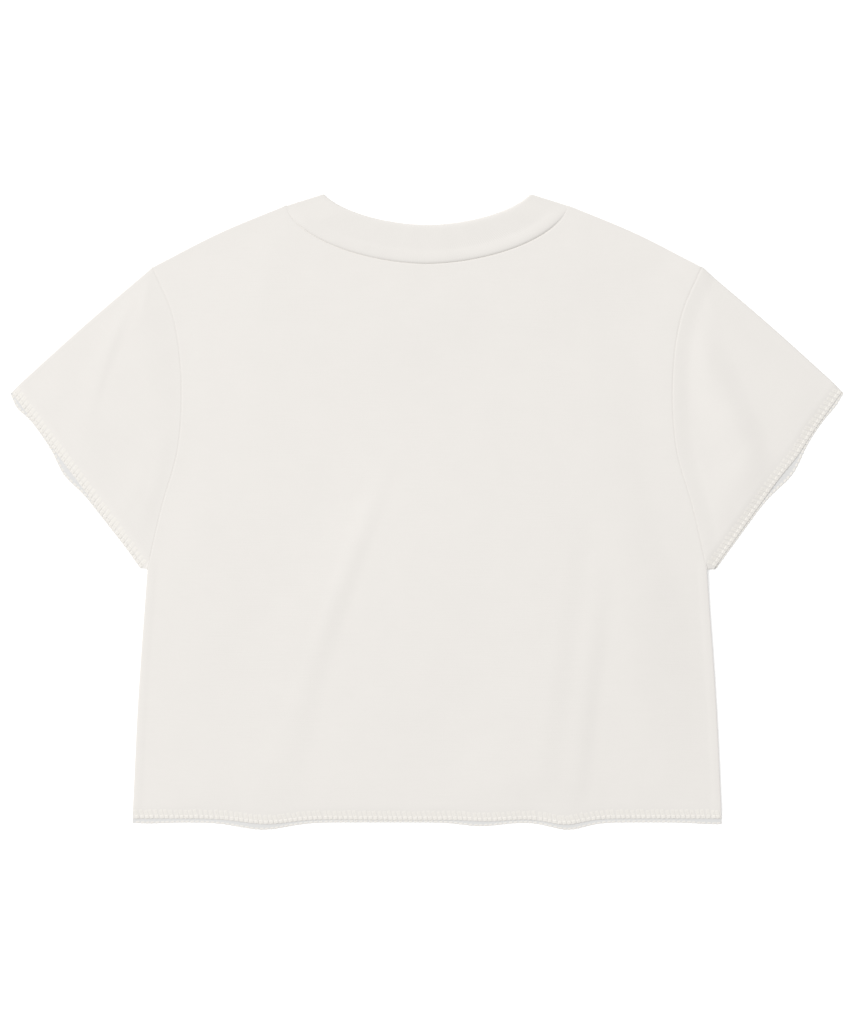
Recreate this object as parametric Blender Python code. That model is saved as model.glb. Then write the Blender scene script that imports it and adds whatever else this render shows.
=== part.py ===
"""Cropped T-shirt with short sleeves and a wide rib collar, laid flat with its back up.

Five cut pieces, each a closed wall of cloth: the front panel on the surface, the back panel over
it, two sleeves that are flattened tubes, and the collar, a flattened ring of rib. Pieces that are
sewn together or lie on each other stay SEAM_GAP apart.

Metres. From above, +X is to the right and +Y towards the neck. The origin is on the surface, under
the middle of the garment. Plan points are (x, y) of the right half, mirrored for the left.
"""

import math
from collections import namedtuple

import bmesh
import bpy
import numpy as np

# Layers of cloth
WALL = 0.0012  # one layer
SEAM_GAP = 0.0003  # left between two pieces
UPPER = WALL + SEAM_GAP  # underside of the upper layer
EDGE_RADIUS = (UPPER + WALL) / 2  # outer radius where the cloth turns over at a fold

# Body, in plan
NECK_SIDE = (0.1124, 0.2452)  # where the collar seam meets the shoulder
SHOULDER = (0.2195, 0.1955)  # outer end of the shoulder
ARMPIT = (0.2238, -0.0465)
SHOULDER_LINE = (NECK_SIDE, (0.1670, 0.2224), SHOULDER)
ARMHOLE = (SHOULDER, (0.2032, 0.1560), (0.1965, 0.1080), (0.1990, 0.0520), (0.2126, 0.0020), ARMPIT)
SIDE_SEAM = (ARMPIT, (0.2310, -0.1480), (0.2358, -0.2460))
BACK_HEM_Y = -0.2456
FRONT_HEM_Y = -0.2486

# Sleeve, in plan
SLEEVE_TIP = (0.3330, 0.0960)  # outer end of the folded upper edge
CUFF_CORNER = (0.2298, -0.0466)  # where the cuff meets the underarm seam
SLEEVE_TOP = (SHOULDER, (0.2760, 0.1475), SLEEVE_TIP)
LOWER_CUFF_SHOWS = 0.0008  # the lower layer of a cuff reaches this far past the upper one

# Collar, in plan. A neckline is a flattened half ellipse, |x|^power + |y|^power = 1.
NECK_POWER = 1.8
COLLAR_CORNER = (0.0822, 0.2534)  # inner end of the collar's fold
COLLAR_HEEL = (0.1119, 0.2440)  # outer end of the collar's fold
COLLAR_EDGE_WIDTH = 0.0880  # half width of the ellipse that the free edge follows
BACK_SEAM_Y, FRONT_SEAM_Y = 0.1980, 0.1560  # neck seam at the centre
BACK_EDGE_Y, FRONT_EDGE_Y = 0.2294, 0.1870  # the collar's free edge at the centre

# The collar's section: how far across from its free edge, and how thick, at its fold and along
# the back, where its lower third stands on the turned-in seam
CollarRow = namedtuple("CollarRow", "across at_fold at_back")
COLLAR_SECTION = (
    CollarRow(0.00, 0.0005, 0.0006),
    CollarRow(0.04, 0.0010, 0.0014),
    CollarRow(0.12, 0.0012, 0.0018),
    CollarRow(0.50, 0.0012, 0.0018),
    CollarRow(0.64, 0.0012, 0.0017),
    CollarRow(0.74, 0.0012, 0.0025),
    CollarRow(0.86, 0.0012, 0.0027),
    CollarRow(0.95, 0.0012, 0.0020),
    CollarRow(1.00, 0.0010, 0.0010),
)

# Waves in the lower edges: where along the edge, how far out, and how wide
Wave = namedtuple("Wave", "place reach spread")
BACK_HEM_WAVES = (
    Wave(-0.129, 0.0052, 0.0190),
    Wave(-0.010, 0.0012, 0.0600),
    Wave(0.050, 0.0014, 0.0140),
    Wave(0.111, 0.0046, 0.0135),
)
FRONT_HEM_WAVES = (
    Wave(-0.222, 0.0008, 0.0120),
    Wave(-0.1315, 0.0058, 0.0190),
    Wave(0.0435, 0.0030, 0.0150),
    Wave(0.1125, 0.0058, 0.0137),
    Wave(0.230, 0.0014, 0.0140),
)
# Along a cuff the place is measured from the sleeve's tip
LEFT_CUFF_WAVES = {
    "upper": (Wave(0.075, 0.0014, 0.0140), Wave(0.160, -0.0010, 0.0250)),
    "lower": (Wave(0.013, 0.0030, 0.0070), Wave(0.079, 0.0040, 0.0120), Wave(0.160, -0.0014, 0.0250)),
}
RIGHT_CUFF_WAVES = {
    "upper": (Wave(0.067, 0.0020, 0.0140),),
    "lower": (Wave(0.013, 0.0012, 0.0070), Wave(0.075, 0.0050, 0.0150)),
}

# Folds of the upper layer: the crest runs from head to foot and bows sideways; rise is its height
# at the head, middle and foot, and left and right are the widths of its flanks at head and foot
Fold = namedtuple("Fold", "head foot bow rise left right")
BACK_FOLDS = (
    Fold((-0.033, 0.036), (-0.128, -0.256), -0.009, (0.0, 0.0024, 0.0022), (0.022, 0.040), (0.009, 0.024)),
    Fold((0.119, 0.030), (0.087, -0.254), 0.003, (0.0, 0.0012, 0.0012), (0.022, 0.026), (0.009, 0.013)),
    Fold((0.138, -0.040), (0.112, -0.256), 0.002, (0.0, 0.0017, 0.0024), (0.016, 0.020), (0.010, 0.016)),
    Fold((0.168, 0.060), (0.160, -0.240), 0.004, (0.0, 0.0016, 0.0), (0.030, 0.030), (0.052, 0.060)),
    Fold((0.146, 0.150), (0.143, -0.030), 0.000, (0.0, 0.0008, 0.0), (0.018, 0.018), (0.022, 0.022)),
    Fold((-0.150, 0.215), (-0.175, 0.090), -0.004, (0.0, 0.0010, 0.0), (0.030, 0.034), (0.024, 0.030)),
)
LEFT_SLEEVE_FOLDS = (
    Fold((-0.228, 0.182), (-0.268, 0.086), 0.003, (0.0, 0.0020, 0.0), (0.022, 0.026), (0.010, 0.014)),
    Fold((-0.236, 0.066), (-0.292, 0.024), 0.002, (0.0, 0.0012, 0.0020), (0.016, 0.014), (0.020, 0.016)),
)
RIGHT_SLEEVE_FOLDS = (
    Fold((0.220, 0.160), (0.272, 0.022), 0.004, (0.0, 0.0018, 0.0006), (0.012, 0.018), (0.024, 0.026)),
    Fold((0.252, 0.080), (0.293, 0.026), 0.002, (0.0, 0.0008, 0.0020), (0.016, 0.014), (0.014, 0.014)),
)
BODY_CROWN = 0.0014  # the back panel lies this much higher inside its edges
SLEEVE_CROWN = 0.0014
BODY_SETTLE = 0.070  # distance from its seams over which the upper layer comes down to them
SLEEVE_SETTLE = 0.030
COLLAR_SETTLE = 0.16  # the same for the collar's fold, as a share of the neckline

# Resolution
HEM_COLUMNS = 60
NECK_COLUMNS = 32  # of the back panel and the collar alike
ROWS_BELOW_ARMPIT = 11
ROWS_AT_ARMHOLE = 16
SLEEVE_ROWS = 13
SLEEVE_COLUMNS = 20
FOLD_STEPS = 4
CURVE_DETAIL = 24
SEAM_DETAIL = 800

JERSEY_COLOUR = (0.84, 0.81, 0.76, 1.0)
RIB_COLOUR = (0.83, 0.80, 0.75, 1.0)


def clear_scene():
    for item in list(bpy.data.objects):
        bpy.data.objects.remove(item, do_unlink=True)


# Curves in plan


def evenly(line, count, trim=0.0):
    """count points at equal distances along a polyline, leaving trim free at both ends."""
    line = np.asarray(line, float)
    reached = np.concatenate(([0.0], np.cumsum(np.linalg.norm(np.diff(line, axis=0), axis=1))))
    wanted = np.linspace(trim, reached[-1] - trim, count)
    return np.stack([np.interp(wanted, reached, line[:, axis]) for axis in (0, 1)], axis=1)


def through(points, count):
    """count evenly spaced points on a smooth curve through the given ones."""
    knots = [np.array(point) for point in points]
    knots = [2 * knots[0] - knots[1], *knots, 2 * knots[-1] - knots[-2]]
    fine = []
    for a, b, c, d in zip(knots, knots[1:], knots[2:], knots[3:]):
        for t in np.arange(CURVE_DETAIL) / CURVE_DETAIL:
            bend = (2 * a - 5 * b + 4 * c - d) * t + (3 * b - a - 3 * c + d) * t * t
            fine.append(b + 0.5 * t * (c - a + bend))
    fine.append(knots[-2])
    return evenly(fine, count)


def neckline(bottom, end, half_width, count):
    """Curve from the left end through (0, bottom) to the right end of a neckline."""
    last = math.asin((end[0] / half_width) ** (NECK_POWER / 2))
    depth = (end[1] - bottom) / (1 - math.cos(last) ** (2 / NECK_POWER))
    angles = np.linspace(-last, last, count)
    x = half_width * np.sign(angles) * np.abs(np.sin(angles)) ** (2 / NECK_POWER)
    x[0], x[-1] = -end[0], end[0]
    y = bottom + depth * (1 - np.cos(angles) ** (2 / NECK_POWER))
    return np.stack([x, y], axis=1)


def wave_reach(waves, place):
    return sum(wave.reach * np.exp(-((place - wave.place) ** 2) / (2 * wave.spread**2)) for wave in waves)


def hem_line(base, waves, count):
    x = np.linspace(-SIDE_SEAM[-1][0], SIDE_SEAM[-1][0], count)
    return np.stack([x, base - wave_reach(waves, x)], axis=1)


def cuff_line(waves, shows, count):
    """Lower edge of a right cuff, from the sleeve's tip to its underarm seam."""
    tip, corner = np.array(SLEEVE_TIP), np.array(CUFF_CORNER)
    along = (corner - tip) / np.linalg.norm(corner - tip)
    outward = np.array((-along[1], along[0]))
    place = np.linspace(0, np.linalg.norm(corner - tip), count)
    return tip + np.outer(place, along) + np.outer(shows + wave_reach(waves, place), outward)


def moved_out(line, distance):
    """The line moved to its left, seen in the direction it runs."""
    run = np.gradient(line, axis=0)
    run /= np.linalg.norm(run, axis=1)[:, None]
    return line + distance * np.stack([-run[:, 1], run[:, 0]], axis=1)


def mirrored(line):
    return line * (-1, 1)


def patch(near, far, left, right):
    """Grid of points between four edges. near and far run from left to right."""
    s = np.linspace(0, 1, len(near))[None, :, None]
    t = np.linspace(0, 1, len(left))[:, None, None]
    across = (1 - s) * left[:, None] + s * right[:, None]
    along = (1 - t) * near[None] + t * far[None]
    corners = (1 - t) * ((1 - s) * near[0] + s * near[-1]) + t * ((1 - s) * far[0] + s * far[-1])
    return across + along - corners


# Heights


def ease(share):
    """0 at 0, 1 at 1 and beyond, with a soft start and end."""
    share = np.clip(share, 0, 1)
    return share * share * (3 - 2 * share)


def fold_height(fold, plan):
    head, foot = np.array(fold.head), np.array(fold.foot)
    length = np.linalg.norm(foot - head)
    along = (foot - head) / length
    rightward = np.array((-along[1], along[0]))
    t = (plan - head) @ along / length
    inside = (t > 0) & (t < 1)
    t = np.clip(t, 0, 1)
    aside = (plan - head) @ rightward - 4 * fold.bow * t * (1 - t)
    left = fold.left[0] * (1 - t) + fold.left[1] * t
    right = fold.right[0] * (1 - t) + fold.right[1] * t
    at_head, at_middle, at_foot = fold.rise
    rise = at_head * (1 - t) * (1 - 2 * t) + at_middle * 4 * t * (1 - t) + at_foot * t * (2 * t - 1)
    flank = 1 - np.abs(aside) / np.where(aside < 0, left, right)
    return np.where(inside, rise * ease(flank), 0.0)


def upper_lift(plan, seams, settle, crown, folds):
    """Height of the upper layer above its lowest place: none at its seams, and inside them the
    crown and the folds."""
    seam_points = evenly(seams, SEAM_DETAIL)
    away = np.linalg.norm(plan[..., None, :] - seam_points, axis=-1).min(axis=-1)
    return ease(away / settle) * (crown + sum(fold_height(fold, plan) for fold in folds))


# Meshes


def loft(loops, ring):
    """Points and faces of a closed skin over equal loops. A ring's last loop joins its first.
    Otherwise each end is closed between the first half of its loop and the second half."""
    count, size = len(loops), len(loops[0])
    faces = []
    for row in range(count if ring else count - 1):
        here, there = row * size, (row + 1) % count * size
        for k in range(size):
            after = (k + 1) % size
            faces.append((here + k, here + after, there + after, there + k))
    if not ring:
        for end in (0, (count - 1) * size):
            for k in range(size // 2 - 1):
                faces.append((end + k, end + k + 1, end + size - 2 - k, end + size - 1 - k))
    return np.concatenate(loops), faces


def cloth_material(name, colour, roughness):
    material = bpy.data.materials.new(name)
    material.use_nodes = True
    shader = material.node_tree.nodes["Principled BSDF"]
    shader.inputs["Base Color"].default_value = colour
    shader.inputs["Roughness"].default_value = roughness
    shader.inputs["Metallic"].default_value = 0.0
    return material


def add_piece(name, points, faces, material):
    mesh = bpy.data.meshes.new(name)
    mesh.from_pydata(points.tolist(), [], faces)
    shape = bmesh.new()
    shape.from_mesh(mesh)
    bmesh.ops.recalc_face_normals(shape, faces=shape.faces)
    shape.to_mesh(mesh)
    shape.free()
    mesh.shade_smooth()
    mesh.set_sharp_from_angle(angle=math.radians(50))
    mesh.materials.append(material)
    piece = bpy.data.objects.new(name, mesh)
    bpy.context.scene.collection.objects.link(piece)
    return piece


def with_height(plan, height):
    """Plan points with their height as a third coordinate."""
    return np.concatenate([plan, np.broadcast_to(height, plan.shape[:-1])[..., None]], axis=-1)


# Pieces


def body_edges(hem_y, hem_waves, seam_y):
    """A body panel's hem, top, left and right edges. The sides run up from the hem, the others
    from left to right."""
    hem = hem_line(hem_y, hem_waves, HEM_COLUMNS + 1)
    neck = neckline(seam_y, NECK_SIDE, NECK_SIDE[0], NECK_COLUMNS + 1)
    shoulder = through(SHOULDER_LINE, (HEM_COLUMNS - NECK_COLUMNS) // 2 + 1)
    top = np.concatenate([mirrored(shoulder)[:0:-1], neck, shoulder[1:]])
    side = through(SIDE_SEAM[::-1], ROWS_BELOW_ARMPIT + 1)
    armhole = through(ARMHOLE[::-1], ROWS_AT_ARMHOLE + 1)
    right = np.concatenate([hem[-1:], side[1:], armhole[1:]])
    left = np.concatenate([hem[:1], mirrored(right)[1:]])
    return hem, top, left, right


def add_front_panel(material):
    """The front lies flat, so it is its outline with a thickness."""
    hem, top, left, right = body_edges(FRONT_HEM_Y, FRONT_HEM_WAVES, FRONT_SEAM_Y)
    outline = np.concatenate([hem[:-1], right[:-1], top[:0:-1], left[:0:-1]])
    count = len(outline)
    points = np.concatenate([with_height(outline, 0.0), with_height(outline, WALL)])
    faces = [tuple(range(count)), tuple(range(count, 2 * count))]
    for k in range(count):
        after = (k + 1) % count
        faces.append((k, after, after + count, k + count))
    return add_piece("front_panel", points, faces, material)


def add_back_panel(material):
    hem, top, left, right = body_edges(BACK_HEM_Y, BACK_HEM_WAVES, BACK_SEAM_Y)
    plan = patch(hem, top, left, right)
    seams = np.concatenate([left, top[1:], right[-2::-1]])
    lift = upper_lift(plan, seams, BODY_SETTLE, BODY_CROWN, BACK_FOLDS)
    loops = []
    for row, height in zip(plan, UPPER + lift):
        top = with_height(row, height + WALL)
        underside = with_height(row, height)
        loops.append(np.concatenate([top, underside[::-1]]))
    return add_piece("back_panel", *loft(loops, ring=False), material)


def turned_edge(upper, lower, radius):
    """Points round a folded edge, from the last point of the upper layer's line down to that of
    the lower layer's, without these two."""
    outward = (upper[-1] - upper[-2]) / np.linalg.norm(upper[-1] - upper[-2])
    points = []
    for turn in np.linspace(0, math.pi, FOLD_STEPS + 1)[1:-1]:
        down = (1 - math.cos(turn)) / 2
        x, y = upper[-1] * (1 - down) + lower[-1] * down + radius * math.sin(turn) * outward
        points.append((x, y, EDGE_RADIUS + radius * math.cos(turn)))
    return points


def sleeve_ring(upper, lower, lift, inside):
    """One ring of a sleeve: upper layer, underarm edge, lower layer, folded upper edge."""
    layer = WALL if inside else 0.0
    underarm = turned_edge(upper, lower, EDGE_RADIUS - layer)
    over = turned_edge(upper[::-1], lower[::-1], EDGE_RADIUS - layer)
    top = with_height(upper, 2 * EDGE_RADIUS + lift - layer)
    bottom = with_height(lower[::-1], layer)
    return np.concatenate([top, underarm, bottom, over[::-1]])


def add_sleeve(name, side, waves, folds, material):
    """side is 1 for the right sleeve and -1 for the left. Its shape is made as the right one."""
    columns = 4 * SLEEVE_COLUMNS + 1
    armhole = moved_out(through(ARMHOLE, columns), SEAM_GAP)
    upper_cuff = cuff_line(waves["upper"], 0.0, columns)
    lower_cuff = cuff_line(waves["lower"], LOWER_CUFF_SHOWS, columns)
    layers = []
    for cuff in (upper_cuff, lower_cuff):
        top_edge = through((armhole[0], SLEEVE_TOP[1], cuff[0]), SLEEVE_ROWS + 1)
        underarm = np.linspace(armhole[-1], cuff[-1], SLEEVE_ROWS + 1)
        grid = patch(armhole, cuff, top_edge, underarm)
        layers.append(np.array([evenly(row, SLEEVE_COLUMNS + 1, trim=EDGE_RADIUS) for row in grid]))
    uppers, lowers = layers
    seams = np.concatenate([uppers[::-1, 0], uppers[0, 1:], uppers[1:, -1]])
    lifts = upper_lift(uppers * (side, 1), seams * (side, 1), SLEEVE_SETTLE, SLEEVE_CROWN, folds)
    outer, inner = [], []
    for upper, lower, lift in zip(uppers, lowers, lifts):
        outer.append(sleeve_ring(upper, lower, lift, inside=False))
        inner.append(sleeve_ring(upper, lower, lift, inside=True))
    outer, inner = np.array(outer), np.array(inner)
    loops = [np.concatenate([outer[:, k], inner[::-1, k]]) * (side, 1, 1) for k in range(outer.shape[1])]
    return add_piece(name, *loft(loops, ring=True), material)


def collar_section(edge, seam, outward, turn, fullness):
    """One section of the collar. turn is 0 along the back and a half turn along the front;
    fullness is 0 where the section is that of the fold and 1 where it is that of the back."""
    inner, outer = [], []
    for row in COLLAR_SECTION:
        thickness = row.at_fold * (1 - fullness) + row.at_back * fullness
        place = edge * (1 - row.across) + seam * row.across
        for radius, side in ((SEAM_GAP / 2, inner), (SEAM_GAP / 2 + thickness, outer)):
            x, y = place + outward * radius * math.sin(turn)
            side.append((x, y, EDGE_RADIUS + radius * math.cos(turn)))
    return np.array(inner + outer[::-1])


def collar_half(edge_y, seam_y):
    edge = neckline(edge_y, COLLAR_CORNER, COLLAR_EDGE_WIDTH, NECK_COLUMNS + 1)
    seam = neckline(seam_y + SEAM_GAP, COLLAR_HEEL, NECK_SIDE[0] - SEAM_GAP, NECK_COLUMNS + 1)
    return list(zip(edge, seam))


def add_collar(material):
    back = collar_half(BACK_EDGE_Y, BACK_SEAM_Y)
    front = collar_half(FRONT_EDGE_Y, FRONT_SEAM_Y)
    none = np.zeros(2)
    loops = []
    for k, (edge, seam) in enumerate(back):
        fullness = float(ease(min(k, NECK_COLUMNS - k) / (NECK_COLUMNS * COLLAR_SETTLE)))
        loops.append(collar_section(edge, seam, none, 0.0, fullness))
    for side, (edge, seam), onward in ((1, back[-1], front[::-1]), (-1, back[0], [])):
        fold = edge - seam
        outward = side * np.array((fold[1], -fold[0])) / np.linalg.norm(fold)
        turns = np.linspace(0, math.pi, FOLD_STEPS + 3)[1:-1]
        for turn in turns if side > 0 else turns[::-1]:
            loops.append(collar_section(edge, seam, outward, turn, 0.0))
        for edge, seam in onward:
            loops.append(collar_section(edge, seam, none, math.pi, 0.0))
    return add_piece("neck_rib", *loft(loops, ring=True), material)


def main():
    clear_scene()
    jersey = cloth_material("jersey", JERSEY_COLOUR, 0.9)
    rib = cloth_material("rib", RIB_COLOUR, 0.92)
    add_front_panel(jersey)
    add_back_panel(jersey)
    add_sleeve("sleeve_left", -1, LEFT_CUFF_WAVES, LEFT_SLEEVE_FOLDS, jersey)
    add_sleeve("sleeve_right", 1, RIGHT_CUFF_WAVES, RIGHT_SLEEVE_FOLDS, jersey)
    add_collar(rib)


main()
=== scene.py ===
"""Cropped T-shirt with a wide rib collar and whip-stitched edges, laid flat with its back up.

One operator makes each piece: the front panel under the back panel, the two sleeves, the collar,
the whip stitches round the hem and the cuffs, and the stage. Every cut piece is a thin closed wall
of cloth over the same outline as its solid, with the same large folds and with finer creases.

Metres. From above, +X is to the right and +Y towards the neck, and z is 0 on the floor. Plan points
are (x, y) of the right half, mirrored for the left.
"""

import math
from collections import namedtuple

import bpy
import numpy as np
from bpy.props import FloatProperty, FloatVectorProperty, IntProperty, PointerProperty
from bpy.types import Operator, Panel, PropertyGroup
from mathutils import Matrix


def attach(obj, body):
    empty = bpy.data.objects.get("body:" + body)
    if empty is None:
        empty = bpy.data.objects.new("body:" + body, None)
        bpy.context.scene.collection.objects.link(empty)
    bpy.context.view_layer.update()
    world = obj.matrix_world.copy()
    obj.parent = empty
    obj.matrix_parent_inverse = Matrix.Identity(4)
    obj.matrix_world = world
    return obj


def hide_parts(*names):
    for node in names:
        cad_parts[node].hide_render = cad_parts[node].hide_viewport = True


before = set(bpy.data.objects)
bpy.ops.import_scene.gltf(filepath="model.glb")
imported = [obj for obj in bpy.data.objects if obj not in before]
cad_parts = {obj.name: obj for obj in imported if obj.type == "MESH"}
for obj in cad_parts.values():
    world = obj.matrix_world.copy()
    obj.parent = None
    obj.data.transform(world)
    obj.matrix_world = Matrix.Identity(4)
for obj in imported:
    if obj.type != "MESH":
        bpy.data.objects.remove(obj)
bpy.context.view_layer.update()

bl_info = {
    "name": "Crop Top",
    "version": (1, 0, 0),
    "blender": (4, 5, 0),
    "location": "View3D > Sidebar > Crop Top",
    "description": "Cropped T-shirt laid flat, with a rib collar and whip-stitched hem and cuffs",
    "category": "Object",
}

BODY = "root"

# Layers of cloth
WALL = 0.00095
LAYER_GAP = 0.0001
LAYERS = 2 * WALL + LAYER_GAP
MIDDLE = LAYERS / 2
SEAM_GAP = 0.0003
PRESSED_WALL = 0.00025  # at a stitched edge, where the thread presses the cloth
PRESSED_WIDTH = 0.0120  # distance from the edge where the cloth has its full thickness again

# Body, in plan
NECK_SIDE = (0.1124, 0.2452)  # where the collar seam meets the shoulder
SHOULDER = (0.2195, 0.1955)  # outer end of the shoulder
ARMPIT = (0.2238, -0.0465)
SHOULDER_LINE = (NECK_SIDE, (0.1670, 0.2224), SHOULDER)
ARMHOLE = (SHOULDER, (0.2032, 0.1560), (0.1965, 0.1080), (0.1990, 0.0520), (0.2126, 0.0020), ARMPIT)
SIDE_SEAM = (ARMPIT, (0.2310, -0.1480), (0.2358, -0.2460))

# Sleeve, in plan
SLEEVE_TIP = (0.3330, 0.0960)  # outer end of the folded upper edge
CUFF_CORNER = (0.2298, -0.0466)  # where the cuff meets the underarm seam
SLEEVE_TOP = (0.2760, 0.1475)  # middle of the folded upper edge
CUFF_SHOWS = {"upper": 0.0, "lower": 0.0008}  # how far out each layer's edge lies

# Collar, in plan. A neckline is a flattened half ellipse, |x|^power + |y|^power = 1.
NECK_POWER = 1.8
COLLAR_CORNER = (0.0822, 0.2534)  # inner end of the collar's fold
COLLAR_HEEL = (0.1119, 0.2440)  # outer end of the collar's fold
COLLAR_EDGE_WIDTH = 0.0880  # half width of the ellipse that the free edge follows

# The collar's section: across from its free edge, and how thick, at its fold and along the back
CollarRow = namedtuple("CollarRow", "across at_fold at_back")
COLLAR_SECTION = (
    CollarRow(0.000, 0.0002, 0.0004),
    CollarRow(0.020, 0.0006, 0.0010),
    CollarRow(0.060, 0.0008, 0.0014),
    CollarRow(0.150, 0.0008, 0.0016),
    CollarRow(0.400, 0.0008, 0.0015),
    CollarRow(0.600, 0.0008, 0.0014),
    CollarRow(0.680, 0.0008, 0.0015),
    CollarRow(0.760, 0.0008, 0.0018),
    CollarRow(0.860, 0.0008, 0.0020),
    CollarRow(0.940, 0.0008, 0.0018),
    CollarRow(0.980, 0.0008, 0.0013),
    CollarRow(1.000, 0.0008, 0.0007),
)

# Waves in the lower edges: where along the edge, how far out, and how wide
Wave = namedtuple("Wave", "place reach spread")
BACK_HEM_WAVES = (
    Wave(-0.129, 0.0042, 0.0190),
    Wave(-0.010, 0.0012, 0.0600),
    Wave(0.050, 0.0014, 0.0140),
    Wave(0.111, 0.0046, 0.0135),
)
FRONT_HEM_WAVES = (
    Wave(-0.222, 0.0008, 0.0120),
    Wave(-0.1315, 0.0058, 0.0190),
    Wave(0.0435, 0.0030, 0.0150),
    Wave(0.1125, 0.0058, 0.0137),
    Wave(0.230, 0.0014, 0.0140),
)

# The body's layers: where the hem lies, its waves, and how low the collar's seam and its free edge
# come at the middle
BodyLayer = namedtuple("BodyLayer", "hem_y hem_waves seam_y edge_y")
BACK = BodyLayer(-0.2459, BACK_HEM_WAVES, 0.1980, 0.2294)
FRONT = BodyLayer(-0.2489, FRONT_HEM_WAVES, 0.1560, 0.1870)

# Folds and creases: the crest runs from head to foot and bows sideways. rise is its height at the
# head, middle and foot. left and right are the widths of its flanks, at the head and at the foot.
Fold = namedtuple("Fold", "head foot bow rise left right")
BACK_FOLDS = (
    Fold((-0.038, 0.007), (-0.128, -0.257), -0.011, (0.0, 0.0007, 0.0002), (0.022, 0.103), (0.009, 0.028)),
    Fold((-0.026, 0.049), (-0.090, -0.110), -0.001, (0.0, 0.0004, 0.0001), (0.014, 0.009), (0.009, 0.017)),
    Fold((0.115, 0.010), (0.082, -0.254), 0.000, (0.0, 0.0012, 0.0000), (0.074, 0.075), (0.022, 0.022)),
    Fold((0.137, -0.031), (0.113, -0.259), 0.000, (0.0, 0.0010, 0.0002), (0.032, 0.048), (0.018, 0.014)),
    Fold((0.194, 0.120), (0.154, -0.205), 0.011, (0.0, 0.0005, -0.0009), (0.047, 0.101), (0.077, 0.088)),
)

# Soft swells and hollows: where, how high and how wide
Swell = namedtuple("Swell", "place rise spread")
BACK_SWELLS = (
    Swell((-0.079, 0.007), -0.0005, 0.016),
    Swell((-0.198, 0.157), 0.0004, 0.015),
    Swell((0.155, 0.171), -0.0010, 0.031),
    Swell((0.101, 0.115), -0.0009, 0.050),
    Swell((0.032, 0.133), -0.0010, 0.033),
    Swell((-0.162, 0.033), -0.0006, 0.059),
    Swell((-0.124, -0.160), -0.0017, 0.064),
    Swell((0.010, -0.206), -0.0010, 0.033),
    Swell((-0.213, -0.006), 0.0023, 0.023),
    Swell((0.215, -0.098), 0.0025, 0.071),
    Swell((0.033, -0.037), 0.0025, 0.068),
)

# Along a cuff the place of a wave is measured from the sleeve's tip
LEFT_CUFFS = {
    "upper": (Wave(0.100, -0.0011, 0.0320), Wave(0.160, -0.0010, 0.0250)),
    "lower": (Wave(0.013, 0.0030, 0.0070), Wave(0.079, 0.0040, 0.0120), Wave(0.160, -0.0018, 0.0250)),
}
LEFT_SLEEVE_FOLDS = (
    Fold((-0.218, 0.204), (-0.271, 0.072), -0.006, (0.0, 0.0005, 0.0001), (0.010, 0.022), (0.007, 0.007)),
    Fold((-0.235, 0.113), (-0.229, 0.049), 0.014, (0.0, -0.0006, -0.0006), (0.040, 0.054), (0.036, 0.044)),
    Fold((-0.207, 0.055), (-0.242, -0.032), 0.014, (0.0, 0.0016, -0.0004), (0.018, 0.019), (0.022, 0.025)),
)
LEFT_SLEEVE_SWELLS = (
    Swell((-0.239, 0.047), -0.0003, 0.022),
    Swell((-0.250, 0.027), -0.0006, 0.016),
    Swell((-0.268, 0.117), -0.0015, 0.041),
)
RIGHT_CUFFS = {
    "upper": (Wave(0.063, 0.0014, 0.0110), Wave(0.100, -0.0007, 0.0800)),
    "lower": (Wave(0.013, 0.0012, 0.0070), Wave(0.077, 0.0052, 0.0150)),
}
RIGHT_SLEEVE_FOLDS = (
    Fold((0.213, 0.174), (0.301, -0.024), -0.002, (0.0, 0.0, 0.0009), (0.036, 0.047), (0.025, 0.089)),
    Fold((0.198, 0.175), (0.288, -0.026), 0.000, (0.0, 0.0017, 0.0007), (0.023, 0.037), (0.022, 0.022)),
)
RIGHT_SLEEVE_SWELLS = (
    Swell((0.248, 0.075), 0.0016, 0.018),
    Swell((0.251, 0.073), -0.0023, 0.032),
    Swell((0.246, -0.009), 0.0004, 0.013),
    Swell((0.196, 0.142), -0.0009, 0.033),
)

# A sleeve is shaped as the right one, with its folds where they lie on the garment. seam_rise is
# how high its armhole seam stands.
Sleeve = namedtuple("Sleeve", "name side seam_rise cuffs folds swells")
SLEEVES = (
    Sleeve("left", -1, 0.0000, LEFT_CUFFS, LEFT_SLEEVE_FOLDS, LEFT_SLEEVE_SWELLS),
    Sleeve("right", 1, 0.0009, RIGHT_CUFFS, RIGHT_SLEEVE_FOLDS, RIGHT_SLEEVE_SWELLS),
)

# The upper layers rise over the lower ones, and come down to them at seams and stitched edges
BODY_CROWN = 0.0013
SLEEVE_CROWN = 0.0016
BODY_SETTLE = 0.070  # distance from a seam over which the layer comes down
SLEEVE_SETTLE = 0.030
EDGE_SETTLE = 0.035  # the same from a stitched edge
CROWN_AT_EDGE = 0.05  # share of the crown that is left at a stitched edge
FOLDS_AT_EDGE = 0.06  # the same of the folds and swells
COLLAR_SETTLE = 0.16  # share of the neckline over which the collar fills out from its fold

# The thread under a stitched edge lifts the cloth off the floor, over twice the width
EDGE_RAISE = 0.0001
EDGE_RAISE_WIDTH = 0.0085

# An armhole's seam stands up, and the cloth falls away from it on both sides
SEAM_FALL_ON_BODY, SEAM_FALL_ON_SLEEVE = 0.035, 0.014

# The turned-in edges of a side seam lift the cloth beside it. rise and fall are the widths of the
# slopes next to the seam and beyond the edges.
Allowance = namedtuple("Allowance", "width height rise fall")
SIDE_ALLOWANCE = Allowance(0.0048, 0.00015, 0.0020, 0.0030)

# The turned-in edges fill the gap along a seam, at the neck up to a ditch
CORD_WIDTH = 0.0014
NECK_DITCH = 0.0003
NECK_DITCH_FADE = 0.25  # share of the neckline over which the ditch fades out at its ends

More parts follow.
